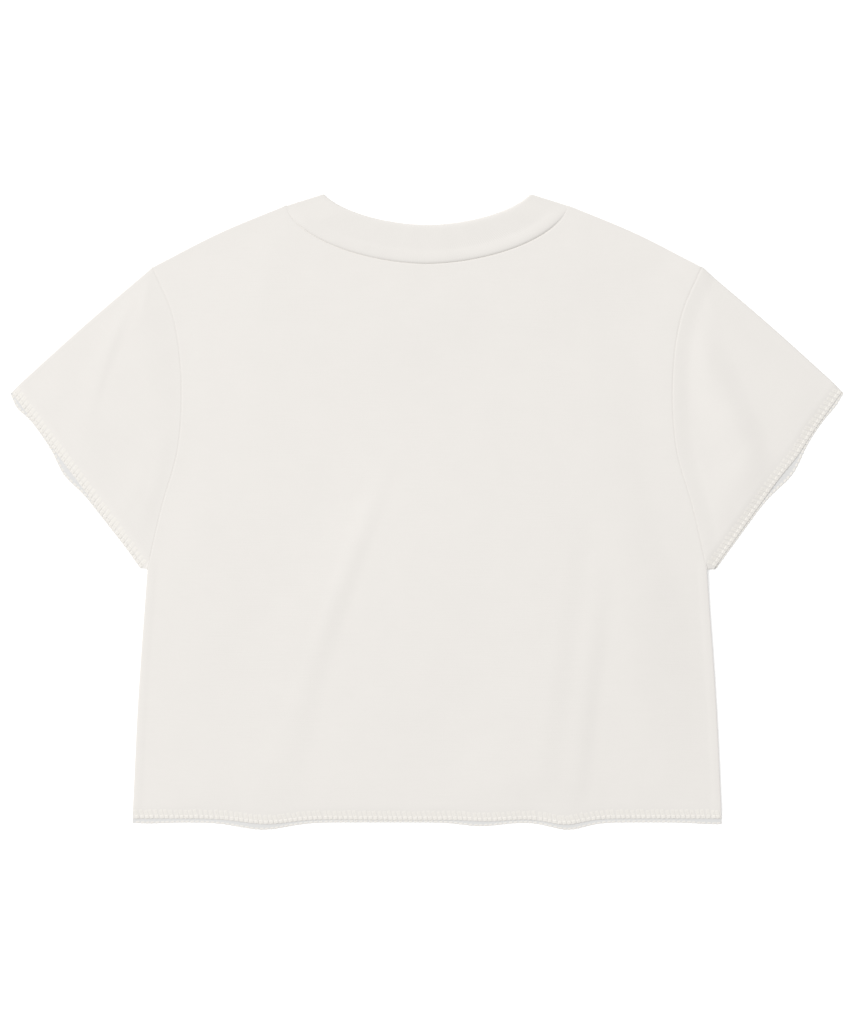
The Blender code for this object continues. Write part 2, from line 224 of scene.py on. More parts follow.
# Stage
FLOOR_REACH = 6.0
FLOOR_GAP = 0.0001
VIEW_CENTRE = (-0.0004, -0.0004)
CAMERA_LENS, CAMERA_SENSOR = 100.0, 36.0  # millimetres

# Resolution of the meshes
SHOULDER_COLUMNS = 38
NECK_COLUMNS = 104
ROWS_BELOW_ARMPIT = 76
ROWS_AT_ARMHOLE = 98
HEM_SHARE_OF_SHOULDER = 0.17  # share of the hem that lies below one shoulder
CROWDING = 0.45  # how much closer together the columns and rows lie near seams
ARMHOLE_CROWDING = 0.5
SLEEVE_ROWS = 64
SLEEVE_COLUMNS = 88
COLLAR_COLUMNS = 170
COLLAR_STEP = 8  # every so many points of the collar's finely drawn section are used
COLLAR_FOLD_STEPS = 12
EDGE_STEPS = 6  # round the edge of a wall
FOLD_STEPS = 10  # round a folded edge
CURVE_DETAIL = 24
LINE_DETAIL = 300
STRAND_SIDES = 6
CORD_STEPS = 240
CORD_SIDES = 12


# Curves in plan


def at_shares(line, shares):
    """Points at the given shares of a polyline's length."""
    line = np.asarray(line, float)
    reached = np.concatenate(([0.0], np.cumsum(np.linalg.norm(np.diff(line, axis=0), axis=1))))
    wanted = reached[-1] * np.asarray(shares)
    return np.stack([np.interp(wanted, reached, line[:, axis]) for axis in (0, 1)], axis=1)


def length_of(line):
    return np.linalg.norm(np.diff(line, axis=0), axis=1).sum()


def evenly(line, count, trim=0.0):
    """count points at equal distances along a polyline, leaving trim free at both ends."""
    margin = trim / length_of(line)
    return at_shares(line, np.linspace(margin, 1 - margin, count))


def through(points):
    """A fine smooth curve through the given points."""
    knots = [np.array(point) for point in points]
    knots = [2 * knots[0] - knots[1], *knots, 2 * knots[-1] - knots[-2]]
    fine = []
    for a, b, c, d in zip(knots, knots[1:], knots[2:], knots[3:]):
        for t in np.arange(CURVE_DETAIL) / CURVE_DETAIL:
            bend = (2 * a - 5 * b + 4 * c - d) * t + (3 * b - a - 3 * c + d) * t * t
            fine.append(b + 0.5 * t * (c - a + bend))
    fine.append(knots[-2])
    return np.array(fine)


def neckline(bottom, end, half_width, count):
    """Curve from the left end through (0, bottom) to the right end of a neckline."""
    last = math.asin((end[0] / half_width) ** (NECK_POWER / 2))
    depth = (end[1] - bottom) / (1 - math.cos(last) ** (2 / NECK_POWER))
    angles = np.linspace(-last, last, count)
    x = half_width * np.sign(angles) * np.abs(np.sin(angles)) ** (2 / NECK_POWER)
    x[0], x[-1] = -end[0], end[0]
    y = bottom + depth * (1 - np.cos(angles) ** (2 / NECK_POWER))
    return np.stack([x, y], axis=1)


def unit(vectors):
    """Vectors of length 1 in the same directions."""
    return vectors / np.linalg.norm(vectors, axis=-1, keepdims=True)


def turned_left(vectors):
    """Plan vectors after a quarter turn to the left."""
    return np.stack([-vectors[..., 1], vectors[..., 0]], axis=-1)


def leftward(line):
    """Unit vectors to the left of a line, seen in the direction it runs."""
    return turned_left(unit(np.gradient(line, axis=0)))


def into(loop):
    """Unit vectors to the inside of a closed counterclockwise loop of plan points."""
    return turned_left(unit(np.roll(loop, -1, axis=0) - np.roll(loop, 1, axis=0)))


def mirrored(line):
    return line * (-1, 1)


def wave_reach(waves, place):
    """How far out the waves bring an edge at places along it."""
    return sum(wave.reach * np.exp(-((place - wave.place) ** 2) / (2 * wave.spread**2)) for wave in waves)


def hem_line(layer):
    """The hem of a layer of the body, from left to right."""
    x = np.linspace(-SIDE_SEAM[-1][0], SIDE_SEAM[-1][0], LINE_DETAIL)
    return np.stack([x, layer.hem_y - wave_reach(layer.hem_waves, x)], axis=1)


def cuff_line(sleeve, layer):
    """The edge of one layer of a right cuff, from the sleeve's tip to its underarm seam."""
    tip, corner = np.array(SLEEVE_TIP), np.array(CUFF_CORNER)
    along = unit(corner - tip)
    place = np.linspace(0, np.linalg.norm(corner - tip), LINE_DETAIL)
    reach = CUFF_SHOWS[layer] + wave_reach(sleeve.cuffs[layer], place)
    return tip + np.outer(place, along) + np.outer(reach, turned_left(along))


def crowded(count, share, ends="both"):
    """count shares from 0 to 1 that lie closer together, by share, near both ends or the last."""
    t = np.linspace(0, 1, count)
    if ends == "last":
        return t + share * np.sin(math.pi * t) / math.pi
    return t - share * np.sin(2 * math.pi * t) / (2 * math.pi)


def patch(near, far, left, right, s, t):
    """Grid of points between four edges. near and far run from left to right, left and right from
    near to far. s is how much each column follows the right edge, t how much each row follows the
    far one."""
    s, t = s[None, :, None], t[:, None, None]
    across = (1 - s) * left[:, None] + s * right[:, None]
    along = (1 - t) * near[None] + t * far[None]
    corners = (1 - t) * ((1 - s) * near[0] + s * near[-1]) + t * ((1 - s) * far[0] + s * far[-1])
    return across + along - corners


# Heights


def ease(share):
    """0 at 0, 1 at 1 and beyond, with a soft start and end."""
    share = np.clip(share, 0, 1)
    return share * share * (3 - 2 * share)


def distance_from(line, plan):
    """Distance of every plan point from a polyline, a row of points at a time."""
    fine = evenly(line, LINE_DETAIL)
    start, span = fine[:-1], np.diff(fine, axis=0)
    distances = []
    for row in plan:
        offset = row[:, None] - start
        share = np.clip((offset * span).sum(axis=-1) / (span * span).sum(axis=-1), 0, 1)
        distances.append(np.linalg.norm(offset - share[..., None] * span, axis=-1).min(axis=-1))
    return np.array(distances)


def fold_height(fold, plan):
    """Height of a fold at plan points, 0 past its flanks."""
    head, foot = np.array(fold.head), np.array(fold.foot)
    along = unit(foot - head)
    t = np.clip((plan - head) @ along / np.linalg.norm(foot - head), 0, 1)
    aside = (plan - head) @ turned_left(along) - 4 * fold.bow * t * (1 - t)
    left = fold.left[0] * (1 - t) + fold.left[1] * t
    right = fold.right[0] * (1 - t) + fold.right[1] * t
    at_head, at_middle, at_foot = fold.rise
    rise = at_head * (1 - t) * (1 - 2 * t) + at_middle * 4 * t * (1 - t) + at_foot * t * (2 * t - 1)
    flank = 1 - np.abs(aside) / np.where(aside < 0, left, right)
    return rise * ease(flank)


def swell_height(swell, plan):
    return swell.rise * np.exp(-((plan - swell.place) ** 2).sum(axis=-1) / (2 * swell.spread**2))


def raised_shape(plan, crown, folds, swells, edge_distance):
    """Height of the crown, folds and swells of an upper layer, lower at its stitched edge."""
    away = ease(edge_distance / EDGE_SETTLE)
    height = crown * (CROWN_AT_EDGE + (1 - CROWN_AT_EDGE) * away)
    shapes = sum(fold_height(fold, plan) for fold in folds)
    shapes = shapes + sum(swell_height(swell, plan) for swell in swells)
    return height + shapes * (FOLDS_AT_EDGE + (1 - FOLDS_AT_EDGE) * away)


def seam_height(sleeve, distance, fall):
    """Height that an armhole's seam gives the cloth at a distance from it."""
    return sleeve.seam_rise * (1 - ease(distance / fall))


def allowance_height(allowance, distance):
    """Height that a seam's turned-in edges give the cloth at a distance from the seam."""
    rises = ease(distance / allowance.rise)
    falls = 1 - ease((distance - allowance.width) / allowance.fall)
    return allowance.height * rises * falls


def edge_raise(distance):
    """Height that the thread under a stitched edge gives the cloth at a distance from it."""
    return EDGE_RAISE * (1 - ease((distance - EDGE_RAISE_WIDTH) / EDGE_RAISE_WIDTH))


def wall_at(distance):
    """Thickness of the cloth at a distance from a stitched edge."""
    return PRESSED_WALL + (WALL - PRESSED_WALL) * ease(distance / PRESSED_WIDTH)


def front_heights(plan):
    """Heights of the front panel's underside and upper side at rows of plan points."""
    to_hem = distance_from(hem_line(FRONT), plan)
    underside = edge_raise(to_hem)
    return underside, underside + wall_at(to_hem)


def back_heights(plan):
    """Heights of the back panel's underside and upper side at rows of plan points."""
    neck = neckline(BACK.seam_y, NECK_SIDE, NECK_SIDE[0], LINE_DETAIL)
    shoulder, armhole, side = through(SHOULDER_LINE), through(ARMHOLE), through(SIDE_SEAM)
    right = {"shoulder": shoulder, "armhole": armhole, "side": side}
    away = {name: np.minimum(distance_from(line, plan), distance_from(mirrored(line), plan))
            for name, line in right.items()}
    nearest = np.minimum.reduce([*away.values(), distance_from(neck, plan)])
    to_hem = distance_from(hem_line(BACK), plan)
    lift = ease(nearest / BODY_SETTLE) * raised_shape(plan, BODY_CROWN, BACK_FOLDS, BACK_SWELLS, to_hem)
    for sleeve in SLEEVES:
        to_armhole = distance_from(armhole * (sleeve.side, 1), plan)
        lift += seam_height(sleeve, to_armhole, SEAM_FALL_ON_BODY)
    lift += allowance_height(SIDE_ALLOWANCE, away["side"])
    underside = front_heights(plan)[1] + LAYER_GAP + lift
    return underside, underside + wall_at(to_hem)


# Meshes


def with_height(plan, height):
    """Plan points with their height as a third coordinate."""
    return np.concatenate([plan, np.broadcast_to(height, plan.shape[:-1])[..., None]], axis=-1)


def add_piece(name, points, faces, material, cut):
    """Adds a smooth mesh to the scene. cut is each point's place on the flat cut piece, which the
    knit follows."""
    mesh = bpy.data.meshes.new(name)
    mesh.from_pydata(np.asarray(points).tolist(), [], faces)
    mesh.shade_smooth()
    mesh.materials.append(material)
    place = mesh.attributes.new("cut", "FLOAT_VECTOR", "POINT")
    flat = np.zeros((len(points), 3), np.float32)
    flat[:, :cut.shape[1]] = cut
    place.data.foreach_set("vector", flat.ravel())
    piece = bpy.data.objects.new(name, mesh)
    bpy.context.scene.collection.objects.link(piece)
    return piece


def border_of(rows, columns):
    """Indices round a grid, counterclockwise from its first point."""
    index = np.arange(rows * columns).reshape(rows, columns)
    return np.concatenate([index[0, :-1], index[:-1, -1], index[-1, :0:-1], index[:0:-1, 0]])


def grid_faces(rows, columns, start, upward):
    """Faces of a grid of points, the first of which has the index start."""
    index = start + np.arange(rows * columns).reshape(rows, columns)
    corners = np.stack([index[:-1, :-1], index[:-1, 1:], index[1:, 1:], index[1:, :-1]], axis=-1)
    corners = corners.reshape(-1, 4)
    return (corners if upward else corners[:, ::-1]).tolist()


def band_faces(upper, lower):
    """Faces between two closed loops of indices that run the same way round."""
    return np.stack([upper, lower, np.roll(lower, -1), np.roll(upper, -1)], axis=1).tolist()


def ring_faces(count, size):
    """Faces of a closed skin over count closed loops of size points, the last joined to the first."""
    index = np.arange(count * size).reshape(count, size)
    faces = []
    for here, there in zip(index, np.roll(index, -1, axis=0)):
        faces += band_faces(here, there)
    return faces


def tube_faces(count, size):
    """Faces of a tube over count loops of size points, closed at both ends."""
    index = np.arange(count * size).reshape(count, size)
    faces = [index[0].tolist(), index[-1, ::-1].tolist()]
    for here, there in zip(index, index[1:]):
        faces += band_faces(here, there)
    return faces


def paint_inside_shade(piece, faces, material):
    """Gives a slice of a piece's faces the look of the inside of the cloth, darker as painted shade."""
    inside = np.zeros(len(piece.data.polygons), int)
    inside[faces] = 1
    piece.data.materials.append(material)
    piece.data.polygons.foreach_set("material_index", inside)


def cloth_wall(name, plan, heights, inside, cloth):
    """A closed wall of cloth over a grid of plan points, between two heights at each, with round
    edges that reach half a wall further. inside is the side that faces the wearer, "upper" or
    "lower"; cloth holds the materials of the outside and the inside, whose darker colour is
    painted shade."""
    rows, columns = plan.shape[:2]
    cut = plan.reshape(-1, 2).copy()
    border = border_of(rows, columns)
    outline = cut[border]
    outward = -into(outline)
    low, high = (height.reshape(-1) for height in heights)
    middle, half = (high + low)[border] / 2, (high - low)[border] / 2
    points = [with_height(cut, high), with_height(cut, low)]
    count = rows * columns
    loops = [border]
    for turn in np.linspace(0, math.pi, EDGE_STEPS + 1)[1:-1]:
        ring = outline + WALL / 2 * math.sin(turn) * outward
        points.append(with_height(ring, middle + half * math.cos(turn)))
        loops.append(2 * count + len(border) * (len(loops) - 1) + np.arange(len(border)))
    loops.append(count + border)
    faces = grid_faces(rows, columns, 0, True) + grid_faces(rows, columns, count, False)
    for upper, lower in zip(loops, loops[1:]):
        faces += band_faces(upper, lower)
    cuts = np.concatenate([cut, cut] + [outline] * (EDGE_STEPS - 1))
    piece = add_piece(name, np.concatenate(points), faces, cloth[0], cuts)
    cells = (rows - 1) * (columns - 1)
    # the inside faces take the jersey's colour darkened as painted shade
    paint_inside_shade(piece, slice(0, cells) if inside == "upper" else slice(cells, 2 * cells), cloth[1])
    return piece


# Body


def body_outline(layer):
    """A body panel's outline, counterclockwise from the left end of its hem."""
    neck = neckline(layer.seam_y, NECK_SIDE, NECK_SIDE[0], LINE_DETAIL)
    right = np.concatenate([through(SIDE_SEAM[::-1]), through(ARMHOLE[::-1]), through(SHOULDER_LINE)[::-1]])
    return np.concatenate([hem_line(layer), right, neck[::-1], mirrored(right)[::-1]])


def moved_in(hem, right, top, left, distance):
    """The edges of a panel, moved inward. Hem and top run to the right, the others upward."""
    outline = np.concatenate([hem[:-1], right[:-1], top[:0:-1], left[:0:-1]])
    outline = outline + distance * into(outline)
    at_right = len(hem) - 1
    at_top = at_right + len(right) - 1
    at_left = at_top + len(top) - 1
    left = np.concatenate([outline[:1], outline[:at_left - 1:-1]])
    return outline[:at_right + 1], outline[at_right:at_top + 1], outline[at_top:at_left + 1][::-1], left


def body_plan(layer):
    """Grid of plan points of a body panel, its rows running up from the hem."""
    outer = 1 - crowded(SHOULDER_COLUMNS + 1, CROWDING, "last")[::-1]
    under_shoulder = HEM_SHARE_OF_SHOULDER * outer
    under_neck = np.linspace(HEM_SHARE_OF_SHOULDER, 1 - HEM_SHARE_OF_SHOULDER, NECK_COLUMNS + 1)
    s = np.concatenate([under_shoulder, under_neck[1:-1], 1 - under_shoulder[::-1]])
    hem = at_shares(hem_line(layer), s)
    shoulder = at_shares(through(SHOULDER_LINE), (1 - outer)[::-1])
    neck = evenly(neckline(layer.seam_y, NECK_SIDE, NECK_SIDE[0], LINE_DETAIL), NECK_COLUMNS + 1)
    top = np.concatenate([mirrored(shoulder)[::-1], neck[1:-1], shoulder])
    side = evenly(through(SIDE_SEAM[::-1]), ROWS_BELOW_ARMPIT + 1)
    armhole = at_shares(through(ARMHOLE[::-1]), crowded(ROWS_AT_ARMHOLE + 1, ARMHOLE_CROWDING, "last"))
    right = np.concatenate([hem[-1:], side[1:], armhole[1:]])
    left = np.concatenate([hem[:1], mirrored(right)[1:]])
    hem, right, top, left = moved_in(hem, right, top, left, WALL / 2)
    height = (right[:, 1] - right[0, 1]) / (right[-1, 1] - right[0, 1])
    # only the columns under the shoulders follow the armholes inward
    corners = (0, HEM_SHARE_OF_SHOULDER, 1 - HEM_SHARE_OF_SHOULDER, 1)
    return patch(hem, top, left, right, np.interp(s, corners, (0, 0.5, 0.5, 1)), height)


# Sleeves


def turned_edge(upper, lower):
    """Points round a folded edge, from the last point of the upper row down to that of the lower
    one, without these two."""
    outward = with_height(unit((upper[-1] - upper[-2])[:2]), 0.0)
    radius = (upper[-1, 2] - lower[-1, 2]) / 2
    turns = np.linspace(0, math.pi, FOLD_STEPS + 1)[1:-1, None]
    down = (1 - np.cos(turns)) / 2
    return upper[-1] * (1 - down) + lower[-1] * down + radius * np.sin(turns) * outward


def sleeve_edges(sleeve, layer):
    """Armhole, cuff, folded upper edge and underarm of one layer of a sleeve, as a right one."""
    armhole = through(ARMHOLE)
    armhole = evenly(armhole + (SEAM_GAP + WALL / 2) * leftward(armhole), LINE_DETAIL)
    cuff = cuff_line(sleeve, layer)
    cuff = cuff - WALL / 2 * leftward(cuff)
    top_edge = through((armhole[0], SLEEVE_TOP, cuff[0]))
    return armhole, cuff, top_edge, np.array((armhole[-1], cuff[-1]))


def sleeve_heights(sleeve, layer, plan):
    """Heights of the underside and upper side of one layer of a sleeve at rows of plan points of a
    right one."""
    to_lower_cuff = distance_from(cuff_line(sleeve, "lower"), plan)
    underside = edge_raise(to_lower_cuff)
    if layer == "lower":
        return underside, underside + wall_at(to_lower_cuff)
    armhole, _, top_edge, underarm = sleeve_edges(sleeve, layer)
    seams = np.concatenate([top_edge[::-1], armhole[1:], underarm[1:]])
    to_cuff = distance_from(cuff_line(sleeve, "upper"), plan)
    shape = raised_shape(plan * (sleeve.side, 1), SLEEVE_CROWN, sleeve.folds, sleeve.swells, to_cuff)
    lift = ease(distance_from(seams, plan) / SLEEVE_SETTLE) * shape
    lift += seam_height(sleeve, distance_from(armhole, plan), SEAM_FALL_ON_SLEEVE)
    underside = underside + wall_at(to_lower_cuff) + LAYER_GAP + lift
    return underside, underside + wall_at(to_cuff)


def sleeve_layer(sleeve, layer):
    """Grids of the underside and upper side of one layer of a sleeve. Rows run from the armhole to
    the cuff, and each runs from the folded upper edge to the underarm."""
    armhole, cuff, top_edge, underarm = sleeve_edges(sleeve, layer)
    t = crowded(SLEEVE_ROWS + 1, CROWDING)
    s = np.linspace(0, 1, len(armhole))
    grid = patch(armhole, cuff, at_shares(top_edge, t), at_shares(underarm, t), s, t)
    plan = np.array([evenly(row, SLEEVE_COLUMNS + 1, trim=MIDDLE) for row in grid])
    return [with_height(plan, height) for height in sleeve_heights(sleeve, layer, plan)]


def sleeve_ring(upper, lower):
    """One ring of a sleeve: upper layer, underarm edge, lower layer, folded upper edge."""
    underarm = turned_edge(upper, lower)
    over = turned_edge(upper[::-1], lower[::-1])
    return np.concatenate([upper, underarm, lower[::-1], over[::-1]])


def round_end(outer, inner, before):
    """Rings round the end of a tube's wall, from its outer ring to its inner one, that reach half a
    wall further. before is an outer ring near the end."""
    run = with_height(unit((outer - before)[:, :2]), 0.0)
    middle, half = (outer + inner) / 2, (outer - inner) / 2
    turns = np.linspace(0, math.pi, EDGE_STEPS + 1)[1:-1]
    return [middle + half * math.cos(turn) + run * WALL / 2 * math.sin(turn) for turn in turns]


def sleeve_cut(points, count):
    """Place on a sleeve's flat cut of the points of count rings: how far from its folded upper edge,
    less than 0 on the lower layer, and how far along it."""
    size = len(points) // count
    fold = unit(np.array(SLEEVE_TIP) - SHOULDER)
    from_shoulder = points[:, :2] - SHOULDER
    down = from_shoulder @ -turned_left(fold)
    upper_half = np.tile(np.arange(size) <= SLEEVE_COLUMNS + FOLD_STEPS // 2, count)
    return np.stack([np.where(upper_half, down, -down), from_shoulder @ fold], axis=1)


def add_sleeve_cloth(sleeve, cloth):
    """A sleeve, a flattened tube of cloth that is open at the armhole and the cuff."""
    upper_underside, upper_side = sleeve_layer(sleeve, "upper")
    underside, lower_upper_side = sleeve_layer(sleeve, "lower")
    outer = [sleeve_ring(upper, lower) for upper, lower in zip(upper_side, underside)]
    inner = [sleeve_ring(upper, lower) for upper, lower in zip(upper_underside, lower_upper_side)]
    loops = outer + round_end(outer[-1], inner[-1], outer[-3]) + inner[::-1]
    loops += round_end(outer[0], inner[0], outer[2])[::-1]
    points = np.concatenate(loops)
    count, size = len(loops), len(loops[0])
    cut = sleeve_cut(points, count)
    faces = ring_faces(count, size)
    if sleeve.side > 0:
        faces = [face[::-1] for face in faces]
    tube = add_piece(f"sleeve_cloth_{sleeve.name}", points * (sleeve.side, 1, 1), faces, cloth[0], cut)
    # the inner rings come after the outer ones and the round end of the cuff
    first = (len(outer) + EDGE_STEPS - 1) * size
    # the inside of the tube, seen where the lower layer shows at the cuff, is darkened as painted shade
    paint_inside_shade(tube, slice(first, first + (len(inner) - 1) * size), cloth[1])
    return tube


# Collar


def collar_section(edge, seam, outward, turn, fullness):
    """One section of the collar. turn is 0 along the back and a half turn along the front, and
    between them the section stands out in the direction outward. fullness is 0 where the section is
    that of the fold and 1 where it is that of the back."""
    at_fold = through([(row.across, row.at_fold) for row in COLLAR_SECTION])[::COLLAR_STEP]
    at_back = through([(row.across, row.at_back) for row in COLLAR_SECTION])[::COLLAR_STEP]
    across = at_fold[:, 0]
    thickness = at_fold[:, 1] * (1 - fullness) + at_back[:, 1] * fullness
    place = np.outer(1 - across, edge) + np.outer(across, seam)
    sides = []
    for radius in (np.full(len(across), SEAM_GAP / 2), SEAM_GAP / 2 + thickness):
        plan = place + np.outer(radius * math.sin(turn), outward)
        sides.append(with_height(plan, MIDDLE + radius * math.cos(turn)))
    return np.concatenate([sides[0], sides[1][::-1]])


def collar_half(layer):
    """Pairs of points on the collar's free edge and its seam, from left to right."""
    edge = neckline(layer.edge_y, COLLAR_CORNER, COLLAR_EDGE_WIDTH, COLLAR_COLUMNS + 1)
    seam = neckline(layer.seam_y + SEAM_GAP, COLLAR_HEEL, NECK_SIDE[0] - SEAM_GAP, COLLAR_COLUMNS + 1)
    return list(zip(edge, seam))


def collar_fold(edge, seam, side):
    """Sections over the fold at one end of the collar: down to the front on the right, where side
    is 1, and up to the back on the left, where it is -1."""
    outward = -side * turned_left(unit(edge - seam))
    turns = np.linspace(0, math.pi, COLLAR_FOLD_STEPS + 1)[1:-1]
    return [collar_section(edge, seam, outward, turn, 0.0) for turn in turns[::side]]


def collar_loops():
    """The collar's sections all round: along the back to the right, over the fold there, along the
    front to the left and over the other fold."""
    back, front = collar_half(BACK), collar_half(FRONT)
    level = np.zeros(2)
    loops = []
    for k, (edge, seam) in enumerate(back):
        fullness = float(ease(min(k, COLLAR_COLUMNS - k) / (COLLAR_COLUMNS * COLLAR_SETTLE)))
        loops.append(collar_section(edge, seam, level, 0.0, fullness))
    loops += collar_fold(*back[-1], 1)
    loops += [collar_section(edge, seam, level, math.pi, 0.0) for edge, seam in front[::-1]]
    return loops + collar_fold(*back[0], -1)


def add_collar(material):
    """The collar, a closed ring of rib that is folded flat at both ends."""
    loops = collar_loops()
    count, size = len(loops), len(loops[0])
    middles = np.array([loop.mean(axis=0) for loop in loops])
    steps = np.linalg.norm(np.diff(middles, axis=0), axis=1)
    around = np.concatenate(([0.0], np.cumsum(steps)))
    across = np.linspace(0, BACK.edge_y - BACK.seam_y, size // 2)
    cut = np.stack([np.repeat(around, size), np.tile([*across, *across[::-1]], count)], axis=1)
    return add_piece("collar_rib", np.concatenate(loops), ring_faces(count, size), material, cut)


# Seams


def add_cord(name, line, low, high, material):
    """A cord along a seam, between the heights low and high."""
    rightward = -leftward(line)
    turns = np.linspace(0, 2 * math.pi, CORD_SIDES, endpoint=False)
    plan = line[:, None] + CORD_WIDTH / 2 * np.cos(turns)[:, None] * rightward[:, None]
    height = ((high + low)[:, None] + (high - low)[:, None] * np.sin(turns)) / 2
    points = with_height(plan, height).reshape(-1, 3)
    return add_piece(name, points, tube_faces(len(line), CORD_SIDES), material, points[:, :2])


def add_armhole_seam(sleeve, material):
    """The cord between the body and a sleeve, as thick as both layers."""
    line = through(ARMHOLE)
    line = evenly(line + SEAM_GAP / 2 * leftward(line), CORD_STEPS) * (sleeve.side, 1)
    low = front_heights(line[None])[0][0]
    high = back_heights(line[None])[1][0]
    return add_cord(f"armhole_seam_{sleeve.name}", line, low, high, material)


def add_neck_seam(side, layer, material):
    """The cord between the collar and the body's front or back."""
    end = (np.array(NECK_SIDE) + COLLAR_HEEL) / 2
    line = neckline(layer.seam_y + SEAM_GAP / 2, end, NECK_SIDE[0] - SEAM_GAP / 2, CORD_STEPS)
    share = np.linspace(0, 1, CORD_STEPS)
    ditch = NECK_DITCH * ease(np.minimum(share, 1 - share) / NECK_DITCH_FADE)
    inside = np.full(CORD_STEPS, SEAM_GAP / 2)
    if side == "front":
        low, high = ditch, MIDDLE - inside
    else:
        low, high = MIDDLE + inside, LAYERS - ditch
    return add_cord(f"neck_seam_{side}", line, low, high, material)


# Stitches


# The way of a stitch round an edge: how far in, as a share of its depth, how far through the wall
# from its inside to its outside, and how far off that level, outward, in heights of a strand
StitchPoint = namedtuple("StitchPoint", "inward level off")
STITCH_WAY = (
    StitchPoint(1.000, 1.00, -1.00),
    StitchPoint(0.930, 1.00, -0.50),
    StitchPoint(0.800, 1.00, -0.24),
    StitchPoint(0.500, 1.00, -0.22),
    StitchPoint(0.220, 1.00, -0.24),
    StitchPoint(0.110, 0.90, -0.34),
    StitchPoint(0.050, 0.60, -0.25),
    StitchPoint(0.030, 0.25, 0.05),
    StitchPoint(0.045, 0.00, 0.46),
    StitchPoint(0.090, 0.00, 0.62),
    StitchPoint(0.200, 0.00, 0.65),
    StitchPoint(0.400, 0.00, 0.60),
)
STITCH_STEPS = 18
STRANDS = 3
STRAND_OVERLAP = 0.35  # share of its width that a strand lies under the next

# How unevenly the stitches are sewn: shares of the pitch, of the depth (for the slant too) and of
# the width of a strand
PLACE_PLAY = 0.06
DEPTH_PLAY = (0.92, 1.05)
SLANT_PLAY = 0.06
STRAND_PLAY = 0.08


def outside_down(heights):
    """The same heights for a layer whose outside faces the floor: upper side, then underside."""
    return lambda plan: heights(plan)[::-1]


def stitch_way():
    """A smooth way through STITCH_WAY, as arrays of its inward, level and off."""
    inward_level = through([(point.inward, point.level) for point in STITCH_WAY])
    inward_off = through([(point.inward, point.off) for point in STITCH_WAY])
    picks = np.linspace(0, len(inward_level) - 1, STITCH_STEPS).round().astype(int)
    return inward_level[picks, 0], inward_level[picks, 1], inward_off[picks, 1]


def stitch_roots(line, sizes, random):
    """Where each stitch goes over the edge, and which way the edge runs there."""
    length = length_of(line)
    lag = sizes.slant * sizes.depth
    count = round((length - lag) / sizes.pitch)
    pitch = (length - lag) / count
    places = lag + pitch * (np.arange(count) + 0.5 + random.uniform(-PLACE_PLAY, PLACE_PLAY, count))
    ahead = at_shares(line, (places + pitch / 2) / length) - at_shares(line, (places - pitch / 2) / length)
    return at_shares(line, places / length), unit(ahead)


def around_strand(centre, beside, sizes):
    """Points round a strand of every stitch, its width along beside. Those under the floor are moved
    up to it."""
    wide = np.broadcast_to(with_height(beside, 0.0)[:, None], centre.shape)
    upright = np.cross(unit(np.gradient(centre, axis=1)), wide)
    turns = np.linspace(0, 2 * math.pi, STRAND_SIDES, endpoint=False)[:, None]
    across = sizes.strand_width * wide[:, :, None] * np.cos(turns)
    up = sizes.strand_height * upright[:, :, None] * np.sin(turns)
    points = centre[:, :, None] + 0.5 * (across + up)
    points[..., 2] = np.maximum(points[..., 2], 0.0)
    return points


def stitch_strands(line, heights, sizes, random):
    """Points of every strand of the stitches along an edge that has the cloth on its left, as
    (stitch, step, point round the strand, xyz). heights gives the heights of the cloth's inside and
    outside at rows of plan points."""
    inward, level, off = stitch_way()
    roots, ahead = stitch_roots(line, sizes, random)
    count = len(roots)
    depths = sizes.depth * random.uniform(*DEPTH_PLAY, count)
    slants = sizes.slant + random.uniform(-SLANT_PLAY, SLANT_PLAY, count)
    run = turned_left(ahead) - slants[:, None] * ahead
    beside = turned_left(unit(run))
    strands = []
    for strand in range(STRANDS):
        aside = (strand - (STRANDS - 1) / 2) * (1 - STRAND_OVERLAP) * sizes.strand_width
        aside = aside + sizes.strand_width * random.uniform(-STRAND_PLAY, STRAND_PLAY, count)
        plan = roots[:, None] + (depths[:, None] * inward)[..., None] * run[:, None]
        plan = plan + aside[:, None, None] * beside[:, None]
        inside, outside = heights(plan)
        outward = np.sign(outside - inside)
        height = inside + level * (outside - inside) + outward * off * sizes.strand_height
        strands.append(around_strand(with_height(plan, height), beside, sizes))
    return np.concatenate(strands)


def add_stitches(name, line, heights, sizes, material):
    """The stitches along an edge as one piece."""
    strands = stitch_strands(line, heights, sizes, np.random.default_rng(sizes.seed))
    count, steps, sides, _ = strands.shape
    index = np.arange(count * steps * sides).reshape(count, steps, sides)
    here, there = index[:, :-1], index[:, 1:]
    walls = np.stack([here, np.roll(here, -1, 2), np.roll(there, -1, 2), there], axis=-1)
    faces = walls.reshape(-1, 4).tolist() + index[:, 0, ::-1].tolist() + index[:, -1].tolist()
    cut = np.zeros(strands.shape[:3] + (2,))
    cut[..., 0] = np.arange(sides) / sides
    cut[..., 1] = np.linspace(0, 2 * sizes.depth, steps)[:, None]
    return add_piece(name, strands.reshape(-1, 3), faces, material, cut.reshape(-1, 2))


def add_cuff_stitches(sleeve, layer, sizes, material):
    """The stitches round one layer of a cuff."""
    cuff = cuff_line(sleeve, layer)
    cuff = cuff[::-1] if sleeve.side > 0 else mirrored(cuff)

    def heights(plan):
        return sleeve_heights(sleeve, layer, plan * (sleeve.side, 1))

    if layer == "lower":
        heights = outside_down(heights)
    return add_stitches(f"cuff_stitches_{sleeve.name}_{layer}", cuff, heights, sizes, material)


# Materials


# The look of the yarn, in the jersey and the rib, and of the thread
YARN_ROUGHNESS = 0.93
YARN_SHEEN = (0.12, 0.6)  # weight, roughness
THREAD_ROUGHNESS = 0.85
THREAD_SHEEN = (0.1, 0.5)
FIBRE_GLOSS = 0.2
YARN_FUZZ = (2200.0, 2.0)  # scale and detail of the noise
THREAD_FUZZ = (1500.0, 2.0)


